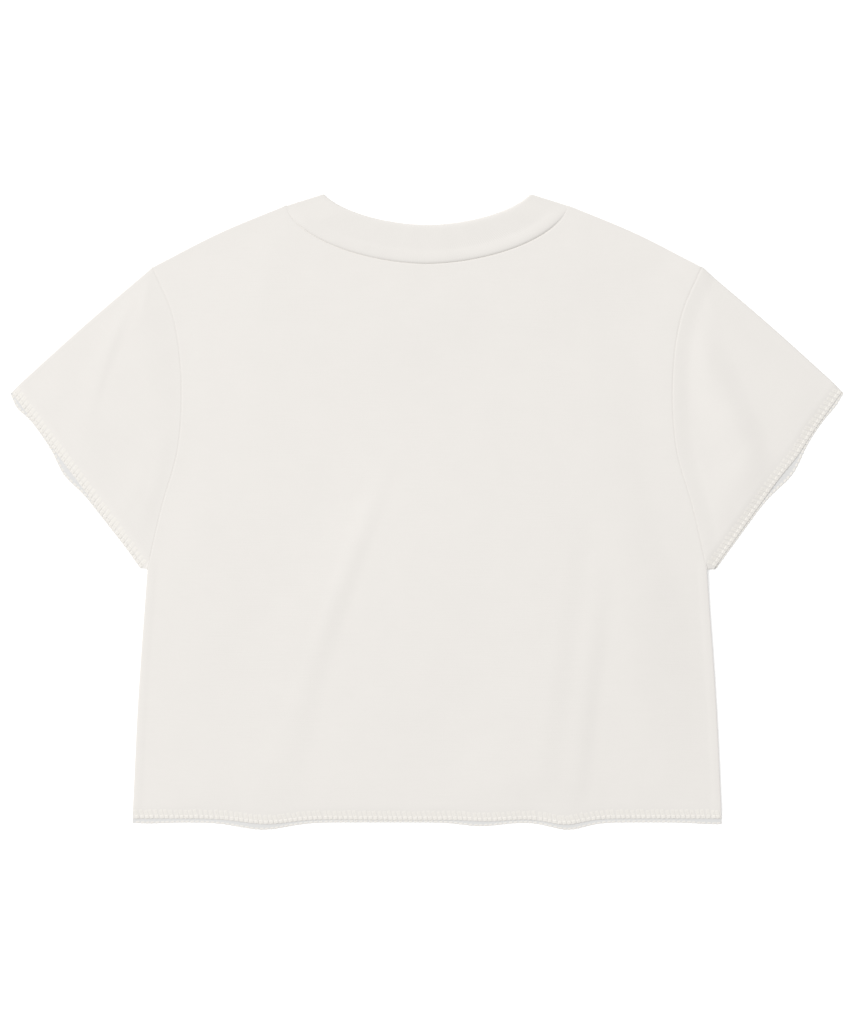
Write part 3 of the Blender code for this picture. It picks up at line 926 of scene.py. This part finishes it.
class Finish:
    """A material, with short ways to add its nodes and to join them to its shader."""

    def __init__(self, name, roughness):
        self.material = bpy.data.materials.new(name)
        self.material.use_nodes = True
        self.tree = self.material.node_tree
        self.shader = self.tree.nodes["Principled BSDF"]
        self.shader.inputs["Roughness"].default_value = roughness

    def add(self, kind, sockets, **settings):
        """Adds a node with its settings and its sockets' values or links, and gives its outputs."""
        node = self.tree.nodes.new(kind)
        for name, value in settings.items():
            setattr(node, name, value)
        for name, value in sockets.items():
            self.feed(node.inputs[name], value)
        return node.outputs

    def feed(self, socket, value):
        if isinstance(value, bpy.types.NodeSocket):
            self.tree.links.new(value, socket)
        else:
            socket.default_value = value

    def math(self, operation, *values):
        return self.add("ShaderNodeMath", dict(enumerate(values)), operation=operation)[0]

    def wave(self, turns):
        """A sine with one swing, from -1 to 1, for each turn."""
        return self.math("SINE", self.math("MULTIPLY", turns, 2 * math.pi))

    def total(self, *weighted):
        """Sum of pairs of a value and its weight."""
        parts = [self.math("MULTIPLY", value, weight) for value, weight in weighted]
        total = parts[0]
        for part in parts[1:]:
            total = self.math("ADD", total, part)
        return total

    def fibres(self, weight, roughness):
        """The soft sheen of fine fibres, with little gloss."""
        self.shader.inputs["Sheen Weight"].default_value = weight
        self.shader.inputs["Sheen Roughness"].default_value = roughness
        self.shader.inputs["Specular IOR Level"].default_value = FIBRE_GLOSS

    def cut_place(self):
        """Place on the flat cut piece, and its two parts."""
        place = self.add("ShaderNodeAttribute", {}, attribute_name="cut")["Vector"]
        across, along, _ = self.add("ShaderNodeSeparateXYZ", {0: place})
        return place, across, along

    def noise(self, place, scale, detail, stretch=(1.0, 1.0, 1.0)):
        place = self.add("ShaderNodeMapping", {"Vector": place, "Scale": stretch})[0]
        return self.add("ShaderNodeTexNoise", {"Vector": place, "Scale": scale, "Detail": detail})["Fac"]

    def colour(self, colour, share, variation):
        """The colour, darker by variation where share is 0 and lighter where it is 1. The colours of
        the mix are its sockets 6 and 7, and its third output."""
        dark = (*(channel * (1 - variation) for channel in colour), 1.0)
        light = (*(min(channel * (1 + variation), 1.0) for channel in colour), 1.0)
        mixed = self.add("ShaderNodeMix", {"Factor": share, 6: dark, 7: light}, data_type="RGBA")[2]
        self.feed(self.shader.inputs["Base Color"], mixed)

    def relief(self, height, depth):
        """Bump of the given depth in metres."""
        normal = self.add("ShaderNodeBump", {"Height": height, "Distance": depth, "Strength": 1.0})[0]
        self.feed(self.shader.inputs["Normal"], normal)


def knit_finish(name, colour, sizes):
    """Single jersey: columns of V stitches, soft fuzz, uneven yarn and a faint mottle."""
    finish = Finish(name, YARN_ROUGHNESS)
    finish.fibres(*YARN_SHEEN)
    place, across, along = finish.cut_place()
    column = finish.math("DIVIDE", across, sizes.wale)
    course = finish.math("DIVIDE", along, sizes.course)
    slant = finish.math("PINGPONG", column, 0.5)
    loops = finish.wave(finish.math("ADD", course, slant))
    legs = finish.wave(slant)
    knit = finish.math("MULTIPLY", finish.math("ADD", finish.math("MULTIPLY", loops, 0.5), 0.5), legs)
    fuzz = finish.noise(place, *YARN_FUZZ)
    slubs = finish.noise(place, 1100.0, 1.0, stretch=(0.035, 1.0, 1.0))
    mottle = finish.noise(place, 45.0, 3.0)
    finish.relief(finish.total((knit, 0.35), (fuzz, 0.8), (slubs, 0.9)), sizes.relief)
    finish.colour(colour, finish.total((mottle, 0.6), (slubs, 0.4)), 0.02)
    return finish.material


def jersey_finish(sizes):
    return knit_finish("jersey_cloth", sizes.jersey_colour, sizes)


# The jersey's inside: the same knit in a darker, greyer colour that is painted shade from the layer above
# it.
def inside_painted_shade_finish(sizes):
    return knit_finish("jersey_inside", sizes.inside_painted_shade_colour, sizes)


def rib_finish(sizes):
    """Rib: soft ridges across the collar's width, in the same yarn."""
    finish = Finish("rib_knit", YARN_ROUGHNESS)
    finish.fibres(*YARN_SHEEN)
    place, around, _ = finish.cut_place()
    ribs = finish.wave(finish.math("DIVIDE", around, sizes.rib))
    fuzz = finish.noise(place, *YARN_FUZZ)
    mottle = finish.noise(place, 60.0, 3.0)
    finish.relief(finish.total((ribs, 0.3), (fuzz, 0.8)), sizes.relief)
    finish.colour(sizes.rib_colour, mottle, 0.02)
    return finish.material


def thread_finish(sizes):
    """Soft spun thread of two plies, twisted, a little lighter and yellower than the cloth."""
    finish = Finish("whip_thread", THREAD_ROUGHNESS)
    finish.fibres(*THREAD_SHEEN)
    place, around, along = finish.cut_place()
    twist = finish.math("ADD", around, finish.math("DIVIDE", along, sizes.twist))
    plies = finish.wave(finish.math("MULTIPLY", twist, 2))
    fuzz = finish.noise(place, *THREAD_FUZZ)
    finish.relief(finish.total((plies, 0.5), (fuzz, 1.0)), sizes.thread_relief)
    finish.colour(sizes.colour, fuzz, 0.05)
    return finish.material


def floor_finish(sizes):
    """Plain white paper that gives off a little light of its own."""
    finish = Finish("floor_paper", roughness=0.9)
    place = finish.add("ShaderNodeTexCoord", {})["Object"]
    grain = finish.noise(place, 30.0, 2.0)
    finish.colour(sizes.floor_colour, grain, 0.004)
    finish.shader.inputs["Emission Color"].default_value = (1.0, 1.0, 1.0, 1.0)
    finish.shader.inputs["Emission Strength"].default_value = sizes.floor_glow
    return finish.material


# Settings


def colour_setting(name, description, default):
    return FloatVectorProperty(
        name=name, description=description, default=default, size=3, min=0, max=1, subtype="COLOR"
    )


def length_setting(name, description, default):
    return FloatProperty(
        name=name, description=description, default=default, min=0, precision=5, unit="LENGTH"
    )


class CropTopCloth(PropertyGroup):
    jersey_colour: colour_setting("Jersey", "Colour of the panels and sleeves", (0.81, 0.783, 0.748))
    # The inside's colour is darker and greyer than the jersey's as painted shade, where a lower layer shows
    # past an upper one.
    inside_painted_shade_colour: colour_setting("Inside", "Colour of the jersey's inside", (0.739, 0.734, 0.725))
    rib_colour: colour_setting("Rib", "Colour of the collar", (0.80, 0.774, 0.739))
    wale: length_setting("Wale", "Width of a column of knit stitches", 0.0009)
    course: length_setting("Course", "Height of a row of knit stitches", 0.0007)
    rib: length_setting("Rib pitch", "Distance from one rib of the collar to the next", 0.0016)
    relief: length_setting("Knit relief", "Depth of the knit and of its fuzz", 0.00005)


class CropTopStitches(PropertyGroup):
    colour: colour_setting("Thread", "Colour of the whip stitches", (0.85, 0.822, 0.776))
    pitch: length_setting("Pitch", "Distance from one stitch to the next", 0.0040)
    depth: length_setting("Depth", "How far a stitch reaches in from the edge", 0.0082)
    slant: FloatProperty(
        name="Slant", description="How far a stitch leans, as a share of its depth", default=0.28
    )
    strand_width: length_setting("Strand width", "Width of one of the strands of a stitch", 0.00135)
    strand_height: length_setting("Strand height", "Thickness of a strand", 0.00046)
    twist: length_setting("Twist", "Length of one twist of the thread", 0.0024)
    thread_relief: length_setting("Thread relief", "Depth of the twist and fuzz", 0.00003)
    seed: IntProperty(name="Seed", description="Changes the unevenness of the stitches", default=7)


class CropTopStage(PropertyGroup):
    floor_colour: colour_setting("Floor", "Colour of the floor", (0.90, 0.90, 0.90))
    floor_glow: FloatProperty(name="Floor glow", description="Light that the floor gives off", default=0.22)
    fill: FloatProperty(name="Fill", description="Strength of the even light all round", default=0.60)
    key: FloatProperty(name="Key", description="Power of the soft light from one side", default=810.0)
    key_width: length_setting("Key width", "Width of the soft light", 7.2)
    key_distance: length_setting("Key distance", "How far off the soft light stands", 11.0)
    key_turn: FloatProperty(
        name="Key turn", description="Side that the soft light comes from, counterclockwise from +X",
        default=math.radians(147), subtype="ANGLE",
    )
    key_rise: FloatProperty(
        name="Key rise", description="How high the soft light stands", default=math.radians(50),
        subtype="ANGLE",
    )
    camera_height: length_setting("Camera height", "Height of the camera over the floor", 2.2776)


# Operators


def finish_piece(piece, node=None):
    """Puts a piece on the body and in place of its solid."""
    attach(piece, BODY)
    if node:
        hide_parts(node)


def area_within(outline):
    """Area inside a closed outline in plan."""
    x, y = np.asarray(outline).T
    return abs(float(np.dot(x, np.roll(y, -1)) - np.dot(y, np.roll(x, -1)))) / 2


def material_of(name, make, sizes):
    """The material of that name, made the first time it is wanted."""
    return bpy.data.materials.get(name) or make(sizes)


def jersey_of(sizes):
    """Materials of the outside and the inside of the jersey, the inside darker as painted shade."""
    return (
        material_of("jersey_cloth", jersey_finish, sizes),
        material_of("jersey_inside", inside_painted_shade_finish, sizes),
    )


def add_body_panel(context, side, layer, heights, inside):
    """Adds the body's front or back, with the stitches round its hem and the cord along its neck.
    inside is the side of the wall that faces the wearer, "upper" or "lower"."""
    jersey = jersey_of(context.scene.crop_top_cloth)
    stitches = context.scene.crop_top_stitches
    plan = body_plan(layer)
    panel = cloth_wall(f"{side}_cloth", plan, heights(plan), inside, jersey)
    finish_piece(panel, f"{side}_panel")
    thread = material_of("whip_thread", thread_finish, stitches)
    sewn_heights = outside_down(heights) if inside == "upper" else heights
    whip = add_stitches(f"hem_stitches_{side}", hem_line(layer), sewn_heights, stitches, thread)
    finish_piece(whip)
    seam = add_neck_seam(side, layer, jersey[0])
    finish_piece(seam)
    area = area_within(body_outline(layer))


class CROPTOP_OT_front_panel(Operator):
    """Adds the front panel, flat on the floor, with the stitches round its hem"""

    bl_idname = "croptop.front_panel"
    bl_label = "Front Panel"

    def execute(self, context):
        add_body_panel(context, "front", FRONT, front_heights, "upper")
        return {"FINISHED"}


class CROPTOP_OT_back_panel(Operator):
    """Adds the back panel on the front panel, with its folds and the stitches round its hem"""

    bl_idname = "croptop.back_panel"
    bl_label = "Back Panel"

    def execute(self, context):
        add_body_panel(context, "back", BACK, back_heights, "lower")
        return {"FINISHED"}


class CROPTOP_OT_sleeves(Operator):
    """Adds both sleeves, with the stitches round their cuffs"""

    bl_idname = "croptop.sleeves"
    bl_label = "Sleeves"

    def execute(self, context):
        jersey = jersey_of(context.scene.crop_top_cloth)
        stitches = context.scene.crop_top_stitches
        thread = material_of("whip_thread", thread_finish, stitches)
        for sleeve in SLEEVES:
            tube = add_sleeve_cloth(sleeve, jersey)
            finish_piece(tube, f"sleeve_{sleeve.name}")
            sewn = [add_armhole_seam(sleeve, jersey[0])]
            for layer in CUFF_SHOWS:
                sewn.append(add_cuff_stitches(sleeve, layer, stitches, thread))
            for piece in sewn:
                finish_piece(piece)
        return {"FINISHED"}


class CROPTOP_OT_collar(Operator):
    """Adds the rib collar"""

    bl_idname = "croptop.collar"
    bl_label = "Collar"

    def execute(self, context):
        collar = add_collar(material_of("rib_knit", rib_finish, context.scene.crop_top_cloth))
        finish_piece(collar, "neck_rib")
        return {"FINISHED"}


class CROPTOP_OT_stage(Operator):
    """Adds the floor, the lights and the camera"""

    bl_idname = "croptop.stage"
    bl_label = "Stage"

    def execute(self, context):
        stage = context.scene.crop_top_stage
        signs = ((-1, -1), (1, -1), (1, 1), (-1, 1))
        corners = [(x * FLOOR_REACH, y * FLOOR_REACH, -FLOOR_GAP) for x, y in signs]
        mesh = bpy.data.meshes.new("floor")
        mesh.from_pydata(corners, [], [(0, 1, 2, 3)])
        mesh.materials.append(floor_finish(stage))
        floor = bpy.data.objects.new("floor", mesh)
        context.scene.collection.objects.link(floor)
        add_lights(context.scene, stage)
        add_camera(context.scene, stage)
        return {"FINISHED"}


def add_lights(scene, stage):
    """The even light all round and the soft light from one side."""
    world = bpy.data.worlds.new("studio")
    world.use_nodes = True
    world.node_tree.nodes["Background"].inputs["Color"].default_value = (1.0, 1.0, 1.0, 1.0)
    world.node_tree.nodes["Background"].inputs["Strength"].default_value = stage.fill
    scene.world = world
    light = bpy.data.lights.new("key", "AREA")
    light.energy = stage.key
    light.size = stage.key_width
    key = bpy.data.objects.new("key", light)
    key.rotation_euler = (0, math.pi / 2 - stage.key_rise, stage.key_turn)
    reach = stage.key_distance * math.cos(stage.key_rise)
    key.location = (
        reach * math.cos(stage.key_turn),
        reach * math.sin(stage.key_turn),
        stage.key_distance * math.sin(stage.key_rise),
    )
    scene.collection.objects.link(key)


def add_camera(scene, stage):
    """The camera, straight above the garment."""
    lens = bpy.data.cameras.new("camera")
    lens.lens, lens.sensor_width = CAMERA_LENS, CAMERA_SENSOR
    lens.clip_end = 10 * stage.camera_height
    camera = bpy.data.objects.new("camera", lens)
    camera.location = (*VIEW_CENTRE, stage.camera_height)
    scene.collection.objects.link(camera)
    scene.camera = camera
    scene.view_settings.view_transform = "Standard"


class CROPTOP_PT_sidebar(Panel):
    bl_idname = "CROPTOP_PT_sidebar"
    bl_label = "Crop Top"
    bl_space_type = "VIEW_3D"
    bl_region_type = "UI"
    bl_category = "Crop Top"

    def draw(self, context):
        for operator in OPERATORS:
            self.layout.operator(operator.bl_idname)
        for name in SETTINGS:
            settings = getattr(context.scene, name)
            box = self.layout.box()
            for prop in settings.bl_rna.properties:
                if prop.identifier not in ("name", "rna_type"):
                    box.prop(settings, prop.identifier)


OPERATORS = (
    CROPTOP_OT_front_panel,
    CROPTOP_OT_back_panel,
    CROPTOP_OT_sleeves,
    CROPTOP_OT_collar,
    CROPTOP_OT_stage,
)
SETTINGS = {
    "crop_top_cloth": CropTopCloth,
    "crop_top_stitches": CropTopStitches,
    "crop_top_stage": CropTopStage,
}


def register():
    for group in SETTINGS.values():
        bpy.utils.register_class(group)
    for name, group in SETTINGS.items():
        setattr(bpy.types.Scene, name, PointerProperty(type=group))
    for operator in OPERATORS:
        bpy.utils.register_class(operator)
    bpy.utils.register_class(CROPTOP_PT_sidebar)


def unregister():
    bpy.utils.unregister_class(CROPTOP_PT_sidebar)
    for operator in reversed(OPERATORS):
        bpy.utils.unregister_class(operator)
    for name in SETTINGS:
        delattr(bpy.types.Scene, name)
    for group in reversed(SETTINGS.values()):
        bpy.utils.unregister_class(group)


def main():
    register()
    bpy.ops.croptop.front_panel()
    bpy.ops.croptop.back_panel()
    bpy.ops.croptop.sleeves()
    bpy.ops.croptop.collar()
    bpy.ops.croptop.stage()


if __name__ == "__main__":
    main()
